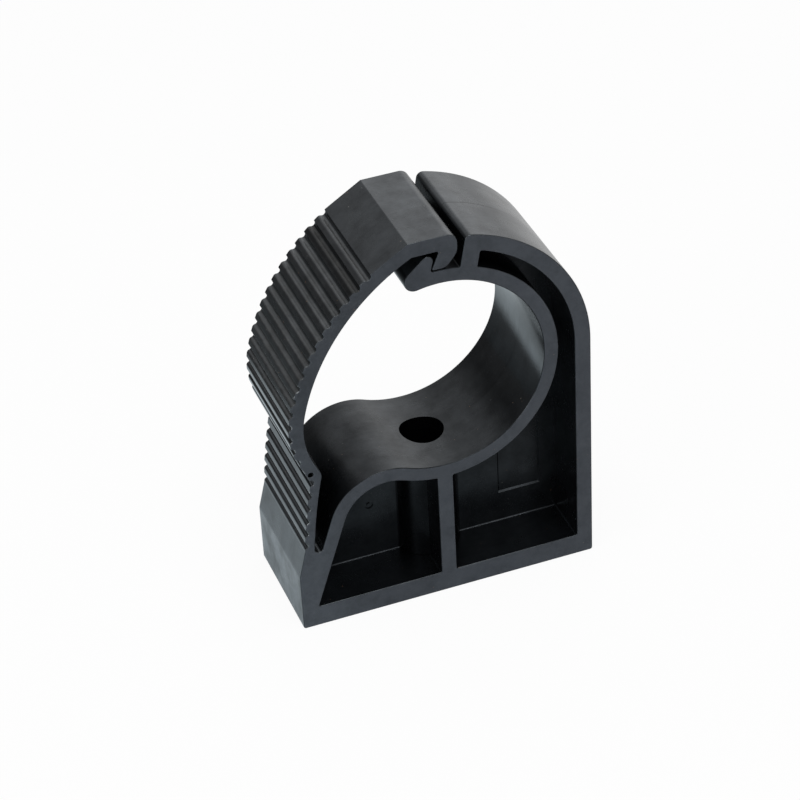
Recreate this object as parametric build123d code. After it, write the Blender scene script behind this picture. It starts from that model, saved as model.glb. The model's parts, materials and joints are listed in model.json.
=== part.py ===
from build123d import *
import os
from math import asin, cos, degrees, radians, sin, sqrt, tan

# Moulded pipe clip: a screw-down saddle with a snap-over locking strap on a flexing neck.
# X runs along the base, Y along the pipe and Z up, in millimetres.
# Profiles are drawn flat as (X, Z) pairs from under the pipe axis, and extruded both ways along Y.
# The finished pieces are then moved so that the origin is on the screw axis, at the underside of the base.

# Pipe seat
bore_diameter = 40.0         # pipe held by the clip
bore_height = 49.5           # pipe axis above the underside of the base
clip_width = 24.0            # along the pipe
ring_wall = 2.8              # wall round the bore, over the hump and down the flank

# Outer frame
slot_width = 3.25            # open slot between the ring and the outer wall
outer_wall = 3.2             # right-hand wall and the arch that continues it
base_thickness = 4.4
base_corner_radius = 0.5
web_thickness = 2.9          # middle web behind the pockets
mid_rib_thickness = 3.1      # upright under the bore
post_angle = 79.2            # face of the post that joins the ring to the arch
post_thickness = 3.4
post_corner_radius = 1.2

# Hump and flank on the open side of the saddle
hump_angle = -112.0          # where the bore runs over into the hump
hump_radius = 11.7
flank_lean = 19.0            # flank from upright

# Shoulder that carries the strap
shoulder_step = 1.45         # end face beyond the neck
shoulder_height = 12.2       # upright end face below the lean-in
root_height = 17.95          # foot of the neck
fold_slot_width = 1.6        # round-bottomed slot between neck and flank

# Screw fixing
head_hole_diameter = 8.5     # lets the screw head down to the base
shank_hole_diameter = 5.0
boss_foot_diameter = 12.6
boss_top_diameter = 12.0

# Catch on the end of the lip
lip_angle = 101.4
lip_tip_radius = 2.05
catch_nose_radius = 1.12
catch_nose_offset = 1.9      # nose centre short of the pipe axis
catch_nose_rise = 2.2        # nose centre above the lip
undercut = 15.0              # lean of the two faces that lock together

# Hook on the end of the strap
hook_gap = 0.3               # between the catch and the foot of the tooth
tooth_gap = 0.35             # tooth above the lip
tooth_lean = 23.0            # locking face of the tooth from upright, more than the undercut
tooth_tip_radius = 0.4
tooth_heel = 1.15            # foot of the tooth beyond the pipe axis
tooth_heel_radius = 1.2
hook_rise = 3.9              # underside of the hook above the lip
hook_reach = 3.88            # nose beyond the pipe axis
hook_nose_radius = 2.0
hook_cheek = 3.05            # upright part of the nose
hook_cheek_radius = 2.0
flat_top = 9.33              # level top, from the nose back to the sloped facet
facet_run = 8.3              # sloped facet, down to the first rib

# Strap, by its smooth inner face and its rib tips
strap_thickness = 3.0
strap_upper_radius = 42.3
strap_leave_angle = 117.4    # where the upper arc leaves the hook
strap_leave_offset = 4.8     # that point short of the pipe axis
strap_join_angle = 166.5     # where the upper arc meets the tighter lower arc
strap_lower_radius = 17.0
strap_lower_tip_radius = 17.8
strap_end_angle = 205.0
knuckle_run = 2.9            # straight stretch down to the knuckle
knuckle_radius = 1.0

# Neck and ribs
neck_thickness = 1.95
neck_radius = 105.0          # slight bow of the neck
rib_pitch = 2.76
groove_radius = 0.66         # round scoop between two ribs
groove_depth = 0.66
first_strap_groove = 0.8     # below the sloped facet
first_neck_groove = 1.25     # above the foot of the neck
keyhole_radius = 0.5         # round relief in the knuckle
keyhole_run = 2.9            # below the lower end of the strap
keyhole_depth = 1.26
keyhole_mouth = 0.2
fold_groove = 2              # neck groove that the strap swings about, counted up from the foot
fold_clearance = 0.1         # between neck and strap at the fold


def polar(centre, radius, angle):
    """Point at a radius and an angle round a centre."""
    return centre + Vector(radius * cos(radians(angle)), radius * sin(radians(angle)))


def angle_round(centre, point):
    """Angle of a point round a centre, from 0 to 360 degrees."""
    return Vector(1, 0, 0).get_signed_angle(point - centre, Vector(0, 0, 1)) % 360


def polygon(*points):
    """Flat face with straight sides."""
    return make_face(Polyline(*points, close=True))


def disc(centre, radius):
    """Round flat face."""
    return Pos(centre) * Circle(radius)


def sector(centre, inner, outer, start, stop):
    """Part of a ring between two angles."""
    turn = stop - start
    return make_face(
        [
            CenterArc(centre, outer, start, turn),
            Line(polar(centre, outer, stop), polar(centre, inner, stop)),
            CenterArc(centre, inner, stop, -turn),
            Line(polar(centre, inner, start), polar(centre, outer, start)),
        ]
    )


def wedge(centre, radius, start, stop):
    """Slice of a disc between two angles."""
    return make_face(
        [
            Line(centre, polar(centre, radius, start)),
            CenterArc(centre, radius, start, stop - start),
            Line(polar(centre, radius, stop), centre),
        ]
    )


def rounded(sketch, points, radius):
    """Sketch with the corners nearest to some points rounded."""
    corners = [min(sketch.vertices(), key=lambda corner: (Vector(corner) - point).length) for point in points]
    return fillet(corners, radius)


def extruded(sketch, start, stop):
    """Solid from a flat (X, Z) profile, between two places along Y."""
    return Pos(0, stop, 0) * extrude(Plane.XZ * sketch, amount=stop - start)


# Radii round the pipe axis, and the two main centres
bore_radius = bore_diameter / 2
ring_radius = bore_radius + ring_wall
slot_radius = ring_radius + slot_width
outer_radius = slot_radius + outer_wall
half_width = clip_width / 2
bore_centre = Vector(0, bore_height)
hump_centre = polar(bore_centre, bore_radius + hump_radius, hump_angle)
saddle_join = polar(bore_centre, bore_radius, hump_angle)

# Flank: a straight wall tangent to the hump, down to the foot of the neck and on to the base
flank_normal = 180 - flank_lean
flank_top = polar(hump_centre, hump_radius, flank_normal)
flank_inner_top = polar(hump_centre, hump_radius - ring_wall, flank_normal)


def down_flank(start, height):
    """Point where a line parallel to the flank reaches a height."""
    return Vector(start.X - (start.Y - height) * tan(radians(flank_lean)), height)


flank_root = down_flank(flank_top, root_height)
flank_inner_foot = down_flank(flank_inner_top, base_thickness)

# Shoulder and the foot of the neck, beside the flank
fold_slot_centre = flank_root - Vector(fold_slot_width / 2, 0)
neck_foot = flank_root - Vector(fold_slot_width, 0)
neck_foot_outer = neck_foot - Vector(neck_thickness, 0)
base_left = neck_foot_outer.X - shoulder_step
base_middle = (base_left + outer_radius) / 2

# Catch: nose and the undercut face that holds the strap
lip_top = Vector(0, bore_height + ring_radius)
lip_tip = polar(bore_centre, bore_radius + lip_tip_radius, lip_angle)
catch_nose = lip_top + Vector(-catch_nose_offset, catch_nose_rise)
catch_face_top = polar(catch_nose, catch_nose_radius, -undercut)


def on_catch_face(rise, gap=0.0):
    """Point on the undercut face, or on the hook's face at a gap from it, at a rise above the lip."""
    height = lip_top.Y + rise
    lean = (catch_face_top.Y - height) * tan(radians(undercut))
    return Vector(catch_face_top.X - lean + gap / cos(radians(undercut)), height)


# Strap inner face, from the hook down to the knuckle
strap_leave = lip_top + Vector(-strap_leave_offset, hook_rise)
upper_centre = polar(strap_leave, -strap_upper_radius, strap_leave_angle)
lower_centre = polar(upper_centre, strap_upper_radius - strap_lower_radius, strap_join_angle)
strap_end = polar(lower_centre, strap_lower_radius, strap_end_angle)
knuckle = polar(strap_end, knuckle_run, strap_end_angle + 90)

# Strap rib tips, from the sloped facet down to the lower end of the strap
hook_top = hook_rise + strap_thickness
hook_nose = lip_top + Vector(hook_reach, hook_top)
facet_corner = hook_nose - Vector(flat_top, 0)
upper_tip_radius = strap_upper_radius + strap_thickness
ribs_angle = angle_round(upper_centre, facet_corner) + degrees(facet_run / upper_tip_radius)
lower_tip_centre = polar(upper_centre, upper_tip_radius - strap_lower_tip_radius, strap_join_angle)
strap_tip_end = polar(lower_tip_centre, strap_lower_tip_radius, strap_end_angle)

# Neck: a long arc through its foot and the knuckle
neck_chord = knuckle - neck_foot
neck_bow = sqrt(neck_radius**2 - (neck_chord.length / 2) ** 2)
neck_centre = (neck_foot + knuckle) / 2 + Vector(neck_chord.Y, -neck_chord.X).normalized() * neck_bow
neck_foot_angle = angle_round(neck_centre, neck_foot)
neck_top_angle = angle_round(neck_centre, knuckle)
neck_tip_radius = neck_radius + neck_thickness


def neck_meets_strap():
    """Angle on the neck's rib tips where the straight outer face of the knuckle runs into them."""
    face_normal = polar(Vector(0, 0), 1, strap_end_angle)
    reach = (strap_tip_end - neck_centre).dot(face_normal)
    return strap_end_angle - 90 + degrees(asin(reach / neck_tip_radius))


neck_tip_angle = neck_meets_strap()


def groove_mouths():
    """Mouth of each groove on the rib tips, with its outward angle: strap first, then neck."""
    mouths = []
    upper_run = radians(strap_join_angle - ribs_angle) * upper_tip_radius
    lower_run = radians(strap_end_angle - strap_join_angle) * strap_lower_tip_radius
    for step in range(int((upper_run + lower_run - first_strap_groove) / rib_pitch) + 1):
        run = first_strap_groove + step * rib_pitch
        if run < upper_run:
            centre, radius = upper_centre, upper_tip_radius
            angle = ribs_angle + degrees(run / radius)
        else:
            centre, radius = lower_tip_centre, strap_lower_tip_radius
            angle = strap_join_angle + degrees((run - upper_run) / radius)
        mouths.append((polar(centre, radius, angle), angle))
    for step in range(int((neck_chord.length - first_neck_groove - rib_pitch / 2) / rib_pitch) + 1):
        mouths.append(neck_groove(step))
    return mouths


def neck_groove(step):
    """Mouth of one neck groove, counted up from the foot, with its outward angle."""
    angle = neck_foot_angle - degrees((first_neck_groove + step * rib_pitch) / neck_radius)
    return polar(neck_centre, neck_tip_radius, angle), angle


def groove(mouth, angle):
    """Round scoop cut into the rib tips at a mouth."""
    return disc(polar(mouth, groove_radius - groove_depth, angle), groove_radius)


def keyhole():
    """Round relief in the straight outer face of the knuckle, with a narrow mouth."""
    face = polar(strap_tip_end, keyhole_run, strap_end_angle + 90)
    hole = Pos(keyhole_radius - keyhole_depth, 0) * Circle(keyhole_radius)
    mouth = Rectangle(2 * (keyhole_depth - keyhole_radius), keyhole_mouth)
    return Pos(face) * Rot(0, 0, strap_end_angle) * (hole + mouth)


def catch_outline():
    """Hook on the end of the lip: round tip, sloped back, round nose and undercut face."""
    rounds = disc(lip_tip, lip_tip_radius).edges() + disc(catch_nose, catch_nose_radius).edges()
    sunk = ring_wall / 2
    fill = polygon(catch_nose, catch_face_top, on_catch_face(0), on_catch_face(-sunk), lip_tip)
    return make_hull(rounds) + fill


def body_outline():
    """Side view of the saddle and its frame, with the pockets still filled."""
    right = polygon((0, 0), (outer_radius, 0), (outer_radius, bore_height), (0, bore_height))
    arch = wedge(bore_centre, outer_radius, 0, post_angle)
    left = polygon(
        (0, 0),
        (base_left, 0),
        (base_left, shoulder_height),
        neck_foot_outer,
        flank_root,
        flank_top,
        hump_centre,
        saddle_join,
        bore_centre,
    )
    hump = wedge(hump_centre, hump_radius, hump_angle + 180, flank_normal)
    outline = right + arch + left + hump - disc(bore_centre, bore_radius)
    outline = rounded(outline, [polar(bore_centre, outer_radius, post_angle)], post_corner_radius)
    outline = rounded(outline, [Vector(base_left, 0), Vector(outer_radius, 0)], base_corner_radius)
    lip = sector(bore_centre, bore_radius, ring_radius, post_angle / 2, lip_angle)
    return outline + lip + catch_outline() - disc(fold_slot_centre, fold_slot_width / 2)


def pocket_outline():
    """Pockets on either side of the upright, the right one running up into the curved slot."""
    left_side = base_middle - mid_rib_thickness / 2
    right_side = base_middle + mid_rib_thickness / 2
    right = polygon(
        (right_side, base_thickness),
        (slot_radius, base_thickness),
        (slot_radius, bore_height),
        (right_side, bore_height),
    )
    slot = wedge(bore_centre, slot_radius, 0, post_angle)
    post_foot = polar(bore_centre, bore_radius, post_angle)
    post_head = polar(bore_centre, outer_radius, post_angle)
    across = polar(Vector(0, 0), post_thickness, post_angle - 90)
    post = polygon(post_foot, post_head, post_head + across, post_foot + across)
    left = polygon(
        (left_side, base_thickness),
        flank_inner_foot,
        flank_inner_top,
        hump_centre,
        saddle_join,
        (left_side, bore_height),
    )
    hump = wedge(hump_centre, hump_radius - ring_wall, hump_angle + 180, flank_normal)
    return right + slot + left + hump - post - disc(bore_centre, ring_radius)


def strap_outline():
    """Side view of the strap from its hook to the foot of the neck, ribbed on the outside."""
    tooth_foot = lip_top.Y + tooth_gap
    heel = Vector(tooth_heel, tooth_foot)
    cheek_foot = hook_nose - Vector(0, hook_cheek)
    locked_foot = on_catch_face(tooth_gap, hook_gap)
    tooth_height = hook_rise - tooth_gap
    locked_top = locked_foot + Vector(tooth_height * tan(radians(tooth_lean)), tooth_height)
    foot_depth = Vector(0, fold_slot_width)
    edges = [
        Line(facet_corner, hook_nose),
        Line(hook_nose, cheek_foot),
        Line(cheek_foot, heel),
        Line(heel, locked_foot),
        Line(locked_foot, locked_top),
        Line(locked_top, strap_leave),
        CenterArc(upper_centre, strap_upper_radius, strap_leave_angle, strap_join_angle - strap_leave_angle),
        CenterArc(lower_centre, strap_lower_radius, strap_join_angle, strap_end_angle - strap_join_angle),
        Line(strap_end, knuckle),
        CenterArc(neck_centre, neck_radius, neck_top_angle, neck_foot_angle - neck_top_angle),
        Line(neck_foot, neck_foot - foot_depth),
        Line(neck_foot - foot_depth, neck_foot_outer - foot_depth),
        Line(neck_foot_outer - foot_depth, polar(neck_centre, neck_tip_radius, neck_foot_angle)),
        CenterArc(neck_centre, neck_tip_radius, neck_foot_angle, neck_tip_angle - neck_foot_angle),
        Line(polar(neck_centre, neck_tip_radius, neck_tip_angle), strap_tip_end),
        CenterArc(lower_tip_centre, strap_lower_tip_radius, strap_end_angle, strap_join_angle - strap_end_angle),
        CenterArc(upper_centre, upper_tip_radius, strap_join_angle, ribs_angle - strap_join_angle),
        Line(polar(upper_centre, upper_tip_radius, ribs_angle), facet_corner),
    ]
    outline = make_face(edges)
    outline = rounded(outline, [hook_nose], hook_nose_radius)
    outline = rounded(outline, [cheek_foot], hook_cheek_radius)
    outline = rounded(outline, [heel], tooth_heel_radius)
    outline = rounded(outline, [locked_foot], tooth_tip_radius)
    outline = rounded(outline, [knuckle], knuckle_radius)
    return ribbed(outline)


def ribbed(outline):
    """Strap outline with its row of grooves and the keyhole at the knuckle."""
    for mouth, angle in groove_mouths():
        outline -= groove(mouth, angle)
    return outline - keyhole()


def fold_pivot():
    """Axis that the strap swings about, at the bottom of one neck groove, with its outward angle."""
    mouth, angle = neck_groove(fold_groove)
    return polar(mouth, -groove_depth, angle), angle


def beyond_fold(direction):
    """Everything on one side of the fold: +1 for the strap, -1 for the foot of the neck."""
    pivot, angle = fold_pivot()
    size = 2 * (bore_height + outer_radius)
    shift = -direction * (size + fold_clearance) / 2
    return Pos(pivot) * Rot(0, 0, angle) * Pos(0, shift) * Rectangle(2 * size, size)


def screw_boss():
    """Tapered boss from the base up into the saddle wall, with the screw's two holes taken out of it later."""
    top = bore_height - bore_radius - ring_wall / 2
    height = top - base_thickness
    middle = Pos(base_middle, 0, base_thickness + height / 2)
    return middle * Cone(boss_foot_diameter / 2, boss_top_diameter / 2, height)


def screw_holes():
    """Wide hole for the screw head, down to the base, and the shank hole through the base."""
    head_run = bore_height - base_thickness
    head = Pos(0, 0, base_thickness + head_run / 2) * Cylinder(head_hole_diameter / 2, head_run)
    shank = Pos(0, 0, base_thickness / 2) * Cylinder(shank_hole_diameter / 2, base_thickness)
    return Pos(base_middle, 0, 0) * (head + shank)


def clip_body(strap):
    """Saddle, frame, base and the foot of the neck, pocketed from both faces down to the middle web."""
    outline = body_outline() + (strap & beyond_fold(-1))
    pockets = pocket_outline()
    body = extruded(outline, -half_width, half_width)
    body -= extruded(pockets, -half_width, -web_thickness / 2)
    body -= extruded(pockets, web_thickness / 2, half_width)
    return body + screw_boss() - screw_holes()


def locking_strap(strap):
    """Ribbed strap above the fold, with its knuckle and hook."""
    return extruded(strap & beyond_fold(1), -half_width, half_width)


whole_strap = strap_outline()
pieces = {"clip_body": clip_body(whole_strap), "locking_strap": locking_strap(whole_strap)}
os.makedirs("parts", exist_ok=True)
for name, piece in pieces.items():
    export_step(Pos(-base_middle, 0, 0) * piece, f"parts/{name}.step")
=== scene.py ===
# Looks of a moulded pipe clip: one dark satin moulding with soft edges, a ribbed strap and a flexing neck
import bmesh
import bpy
import json
from math import acos, asin, atan2, ceil, cos, degrees, pi, radians, sin, sqrt, tan
from mathutils import Matrix, Vector


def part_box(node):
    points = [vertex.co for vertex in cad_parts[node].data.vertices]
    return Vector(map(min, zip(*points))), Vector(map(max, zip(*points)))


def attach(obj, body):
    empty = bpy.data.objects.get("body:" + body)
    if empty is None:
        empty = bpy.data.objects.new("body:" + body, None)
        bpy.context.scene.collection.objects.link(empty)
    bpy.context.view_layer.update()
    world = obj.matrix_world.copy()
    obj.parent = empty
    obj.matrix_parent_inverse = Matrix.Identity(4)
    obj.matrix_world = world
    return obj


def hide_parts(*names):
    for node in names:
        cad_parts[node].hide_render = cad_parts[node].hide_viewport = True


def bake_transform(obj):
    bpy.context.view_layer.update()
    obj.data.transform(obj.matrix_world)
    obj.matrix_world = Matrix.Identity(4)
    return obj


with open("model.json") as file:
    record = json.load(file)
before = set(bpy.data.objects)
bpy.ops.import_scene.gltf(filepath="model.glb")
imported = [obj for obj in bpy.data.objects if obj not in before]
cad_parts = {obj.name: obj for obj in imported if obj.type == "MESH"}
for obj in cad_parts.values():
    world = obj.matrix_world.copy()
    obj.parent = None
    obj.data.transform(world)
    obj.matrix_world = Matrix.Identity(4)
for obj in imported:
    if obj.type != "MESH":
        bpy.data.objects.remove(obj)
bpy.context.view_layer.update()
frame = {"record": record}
mounts = {mount["name"]: mount for mount in frame["record"]["mounts"]}
MM = 0.001

# Sizes that the frame gives, in millimetres
BODY_LOW, BODY_HIGH = (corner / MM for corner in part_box("clip_body"))
HALF_WIDTH = BODY_HIGH.y
BASE_LEFT = BODY_LOW.x
PIPE_X = mounts["pipe_seat"]["pos_m"][0] / MM
OUTER_RADIUS = BODY_HIGH.x - PIPE_X
BORE_RADIUS = mounts["pipe_seat"]["dims"]["r_mm"]
BORE_HEIGHT = mounts["pipe_seat"]["pos_m"][2] / MM
HEAD_WELL_RADIUS = mounts["head_well"]["dims"]["r_mm"]
SHANK_RADIUS = mounts["screw_hole"]["dims"]["r_mm"]
BASE_THICKNESS = mounts["screw_hole"]["dims"]["length_mm"]

# Saddle and outer frame
RING_WALL = 2.8
SLOT_WIDTH = 3.25
WEB_THICKNESS = 2.9
MID_RIB_THICKNESS = 3.1
BASE_CORNER = 0.5
POST_ANGLE = 79.2
POST_THICKNESS = 3.4
POST_CORNER = 1.2
HUMP_ANGLE = -112.0
HUMP_RADIUS = 11.7
FLANK_LEAN = 19.0
SHOULDER_HEIGHT = 12.2
ROOT_HEIGHT = 17.95
FOLD_SLOT_WIDTH = 1.6
BOSS_FOOT_RADIUS = 6.3
BOSS_TOP_RADIUS = 6.0

# Catch on the lip
LIP_ANGLE = 101.4
LIP_TIP_RADIUS = 2.05
CATCH_NOSE_RADIUS = 1.12
CATCH_NOSE_OFFSET = 1.9
CATCH_NOSE_RISE = 2.2
UNDERCUT = 15.0

# Hook on the strap
HOOK_GAP = 0.08
TOOTH_GAP = 0.2
TOOTH_LEAN = 23.0
TOOTH_TIP_ROUND = 0.3
TOOTH_HEEL = 1.6
TOOTH_HEEL_ROUND = 2.0
HOOK_RISE = 3.9
HOOK_REACH = 3.88
HOOK_NOSE_ROUND = 2.0
HOOK_CHEEK = 4.0
HOOK_CHEEK_ROUND = 3.0
FLAT_TOP = 9.33
FACET_RUN = 8.3

# Strap and neck
STRAP_THICKNESS = 3.0
STRAP_UPPER_RADIUS = 42.3
STRAP_LEAVE_ANGLE = 117.4
STRAP_LEAVE_OFFSET = 4.8
STRAP_JOIN_ANGLE = 166.5
STRAP_LOWER_RADIUS = 17.0
STRAP_LOWER_TIP_RADIUS = 17.8
STRAP_END_ANGLE = 205.0
KNUCKLE_RUN = 2.9
KNUCKLE_ROUND = 2.5
NECK_THICKNESS = 1.95
NECK_RADIUS = 105.0
KEYHOLE_RADIUS = 0.5
KEYHOLE_RUN = 2.9
KEYHOLE_DEPTH = 1.26
KEYHOLE_MOUTH = 0.2

# Ribs
RIB_PITCH = 2.76
RIB_ROUND = 0.15             # edge of a rib that faces down
RIB_CROWN = 0.7              # softer edge that faces up
GROOVE_RADIUS = 0.66
GROOVE_DEPTH = 0.66
FIRST_STRAP_GROOVE = 0.8
FIRST_NECK_GROOVE = 1.25
TOP_NECK_GROOVE = 5
SEAM_RIB = 0.5               # neck rib that the two pieces meet on, in ribs above the first groove

# Moulded edges
BODY_EDGE = 0.22
STRAP_EDGE = 0.14
CORNER_ROUND = 0.35
SHOULDER_ROUND = 2.5
POCKET_ROUND = 0.3
WEB_FILLET = 0.28
EDGE_STEPS = 4
SCOOP_STEPS = 8
RIB_EDGE_STEPS = 6
CHORD_ERROR = 0.004
WIDEST_STEP = 6.0            # along an arc, in degrees
CORNER_BEFORE = 0.95         # most of the run before and after a corner that its round may take up
CORNER_AFTER = 0.7
SMOOTH_ANGLE = 40.0
CUT_SPARE = 1.0              # length of a cutter beyond what it cuts

# Small marks on the webs
PANEL_LOW = (14.5, 11.0)
PANEL_HIGH = (23.2, 27.0)
PANEL_DEPTH = 0.3
PIN_MARK = (-11.8, 16.4)
PIN_MARK_INNER = 0.42
PIN_MARK_OUTER = 0.85
PIN_MARK_DEPTH = 0.25

# Camera fitted to the view, in degrees and millimetres
VIEW_AZIMUTH = -18.958
VIEW_ELEVATION = 35.631
VIEW_ROLL = -3.224
VIEW_DISTANCE = 528.92
VIEW_TARGET = (-3.918, 0.0, 37.636)
VIEW_LENS = 127.86
VIEW_SENSOR = 36.0
VIEW_NEAREST = 10.0

# Plastic and what lies on it
PLASTIC_IOR = 1.58
PLASTIC_SHEEN = (0.82, 0.91, 1.0, 1)
PLASTIC_DEEP = (0.0012, 0.0014, 0.0017, 1)
PLASTIC_PALE = (0.0022, 0.0025, 0.003, 1)
SCUFFED_COLOUR = (0.052, 0.058, 0.069, 1)
DUST_COLOUR = (0.16, 0.155, 0.145, 1)
WARM_DUST_COLOUR = (0.2, 0.12, 0.07, 1)
# Painted highlight on the up-facing edges of the upper ribs
RIB_HIGHLIGHT_COLOUR = (0.031, 0.031, 0.03, 1)
HAZE_COLOUR = (0.09, 0.105, 0.12, 1)
FLASH_COLOUR = (0.3, 0.32, 0.33, 1)
# Share of the scuff finish kept at the strap, so that the fronts there are painted in shade
STRAP_SHADE_SHARE = 0.75
SATIN_ROUGHNESS = (0.24, 0.32)
POLISHED_ROUGHNESS = 0.15
MATT_ROUGHNESS = 0.5
END_DULLNESS = 0.4
# Painted shade: share of the sheen kept on the boss, the saddle and the top of the lip
BOSS_SHADED_SHEEN = 0.3
SADDLE_SHADED_SHEEN = 0.57
LIP_SHADED_SHEEN = 0.3
PARTING_GLOSS = 0.2
BORE_LINE = 0.6              # parting line in the bore, as a share of the one on the arch

# Patterns: noise and cells per metre, and the fine grain in millimetres
CLOUD_SCALE = 140
GRAIN_SCALE = 2600
GRAIN_STRENGTH = 0.1
GRAIN_HEIGHT = 0.1
SMUDGE_SCALE = 170
STREAK_SCALE = 130
STREAK_STRETCH = (1, 12, 1)
BLOTCH_SCALE = 300
HAZE_SCALE = 105
WANDER_SCALE = 50
FLASH_SCALE = 1300
RIB_HIGHLIGHT_SCALE = 600
WARM_DUST_SCALE = 450
DUST_SCALE = 900.0
DUST_DOT = (0.05, 0.12)
BARE_CELLS = 0.82            # share of the cells that hold no dust, on most faces and on pocket floors
BARE_FLOOR_CELLS = 0.5

# Where finishes begin and end, in millimetres
FRONT_SKIN = (HALF_WIDTH - 0.6, HALF_WIDTH - 0.3)
# Painted shade: the fronts grow darker along this direction towards the strap
AWAY_FROM_STRAP = (1, 0, -0.6)   # direction that the next span is measured along
STRAP_SHADE_FADE = (-60, -20)
FLOOR_DUST_TOP = (5, 6)
# Painted highlight on the upper ribs: the heights where it comes in, and its fade at the start of the ribs
RIB_HIGHLIGHT_LOW = (42, 52)
RIB_HIGHLIGHT_FADE = 0.2
END_TOP = (11, 13)
END_SKIN = (-29, -28)
FLASH_FRONT = (-11.85, -11.7)
FLASH_RIBS = (-26.5, -24.5)
FLASH_LOW = (18, 22)
PARTING_WANDER = 0.3
PARTING_EDGE = (0.04, 0.13)
ARCH_START = (5.5, 7)
ARCH_LOW = (60, 62)
BORE_LINE_START = (8, 10)
BORE_LINE_END = (20.6, 20.8)
BOSS_SKIN = (6.4, 6.6)
BOSS_TOP = (26.6, 27.2)
SADDLE_LOW = (25, 27)
SADDLE_HIGH = (34, 37)
SADDLE_START = (-23, -22)
LIP_LOW = (71, 71.5)
LIP_HIGH = (72.5, 72.7)
LIP_END = (5.2, 5.6)
POLISHED_WALL_START = (12, 15)
POLISHED_WALL_END = (21, 21.5)
POLISHED_RIBS = (-26, -24.5)
POLISHED_RIBS_LOW = (30, 34)
POLISHED_RIBS_HIGH = (50, 54)

# Studio: brightness and colour of the surroundings, and how the object mirrors them
WHITE = (1, 1, 1, 1)
SURROUND_LIGHT = 0.3
MIRRORED_WHITE = 0.85
MIRRORED_DARK = 0.14
DARK_SIDE = (-0.63, 0.77, 0.1)
DARK_SIDE_NEAR = 13.0        # degrees from the middle of the dark side
DARK_SIDE_FAR = 33.0
FLOOR_COLOUR = (0.9, 0.9, 0.9, 1)
FLOOR_SHEEN = (0.84, 0.95, 1.0, 1)
FLOOR_GLOW = 0.93
FLOOR_IN_FRONT = 0.26
FLOOR_BEHIND = 0.36
FLOOR_FAR_LEFT = 0.16

# Studio: where the mirrored floor changes, in millimetres
FLOOR_LEFT_FADE = (78, 96)
FLOOR_RIGHT_FADE = (55, 75)
FLOOR_BACK_FADE = (0, 50)
FLOOR_RIGHTWARD = (-40, -12)
FLOOR_LEFTWARD = (12, 40)

# Studio: half the floor in metres, and the lamps: place, target and size in metres, power in watts
FLOOR_HALF_SIZE = 3
LAMPS = (
    ("lamp_top", (0.0, -0.2, 0.9), (0, 0, 0.03), (0.6, 0.6), 5),
    ("lamp_back", (0.35, 0.75, 0.4), (0, 0, 0.04), (0.5, 0.45), 0.5),
    ("lamp_left", (-0.8, -0.3, 0.4), (0, 0, 0.04), (0.6, 0.6), 2),
)


def point(x, z):
    """Point of the side view."""
    return Vector((x, z))


def polar(centre, radius, angle):
    """Point at a radius and an angle round a centre."""
    return centre + radius * point(cos(radians(angle)), sin(radians(angle)))


def angle_round(centre, place):
    """Angle of a point round a centre, from 0 to 360 degrees."""
    return degrees(atan2(place.y - centre.y, place.x - centre.x)) % 360


def arc(centre, radius, start, stop):
    """Points along an arc, close enough together for its radius."""
    widest = min(WIDEST_STEP, 2 * degrees(acos(1 - CHORD_ERROR / radius)))
    steps = max(2, ceil(abs(stop - start) / widest))
    return [polar(centre, radius, start + (stop - start) * step / steps) for step in range(steps + 1)]


def groove_reach(edge):
    """Distance from the middle of a groove to where the rounded edge of a rib ends."""
    return sqrt((GROOVE_RADIUS + edge) ** 2 - (GROOVE_RADIUS + edge - GROOVE_DEPTH) ** 2)


# Main centres of the side view
RING_RADIUS = BORE_RADIUS + RING_WALL
SLOT_RADIUS = RING_RADIUS + SLOT_WIDTH
BORE_CENTRE = point(PIPE_X, BORE_HEIGHT)
HUMP_CENTRE = polar(BORE_CENTRE, BORE_RADIUS + HUMP_RADIUS, HUMP_ANGLE)
FLANK_NORMAL = 180 - FLANK_LEAN
FLANK_TOP = polar(HUMP_CENTRE, HUMP_RADIUS, FLANK_NORMAL)


def down_flank(start, height):
    """Point where a line parallel to the flank reaches a height."""
    return point(start.x - (start.y - height) * tan(radians(FLANK_LEAN)), height)


FLANK_ROOT = down_flank(FLANK_TOP, ROOT_HEIGHT)
NECK_FOOT = FLANK_ROOT - point(FOLD_SLOT_WIDTH, 0)

# Catch and hook
LIP_TOP = point(PIPE_X, BORE_HEIGHT + RING_RADIUS)
LIP_TIP = polar(BORE_CENTRE, BORE_RADIUS + LIP_TIP_RADIUS, LIP_ANGLE)
CATCH_NOSE = LIP_TOP + point(-CATCH_NOSE_OFFSET, CATCH_NOSE_RISE)
CATCH_FACE_TOP = polar(CATCH_NOSE, CATCH_NOSE_RADIUS, -UNDERCUT)


def on_catch_face(rise, gap=0.0):
    """Point on the undercut face, or at a gap from it, at a rise above the lip."""
    height = LIP_TOP.y + rise
    lean = (CATCH_FACE_TOP.y - height) * tan(radians(UNDERCUT))
    return point(CATCH_FACE_TOP.x - lean + gap / cos(radians(UNDERCUT)), height)


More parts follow.
